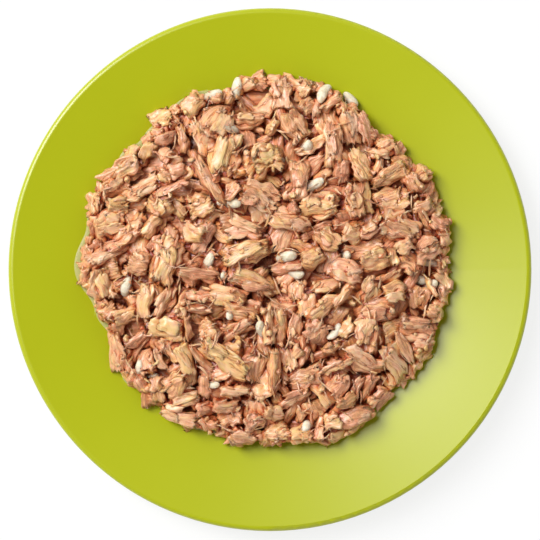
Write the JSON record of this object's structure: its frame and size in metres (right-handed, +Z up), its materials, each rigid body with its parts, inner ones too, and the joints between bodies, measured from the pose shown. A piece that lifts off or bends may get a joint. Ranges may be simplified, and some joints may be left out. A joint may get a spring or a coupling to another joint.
{
  "type": "plate of flaked tuna cat food",
  "caption": "Low heap of flaked tuna cat food with rice grains, served on a small round lime green plate with a flat well, wide sloping rim and foot ring.",
  "frame": {"origin": "centre of the plate's foot ring, on the surface the plate stands on", "axes": "+Z up along the plate's axis; +X and +Y span the surface, +Y being away from someone who looks at the serving from the front"},
  "size_m": [0.15, 0.15, 0.0211],
  "materials": {
    "plate_glaze": "smooth lime green glaze, satin to glossy",
    "tuna_flakes": "moist cooked fish, pinkish beige flakes with paler and tan ones, fibrous",
    "rice": "boiled rice, white and slightly translucent",
    "juice": "thin clear cooking juice"
  },
  "bodies": {
    "root": {"plate": "plate_glaze", "tuna_heap": "tuna_flakes"}
  },
  "joints": []
}
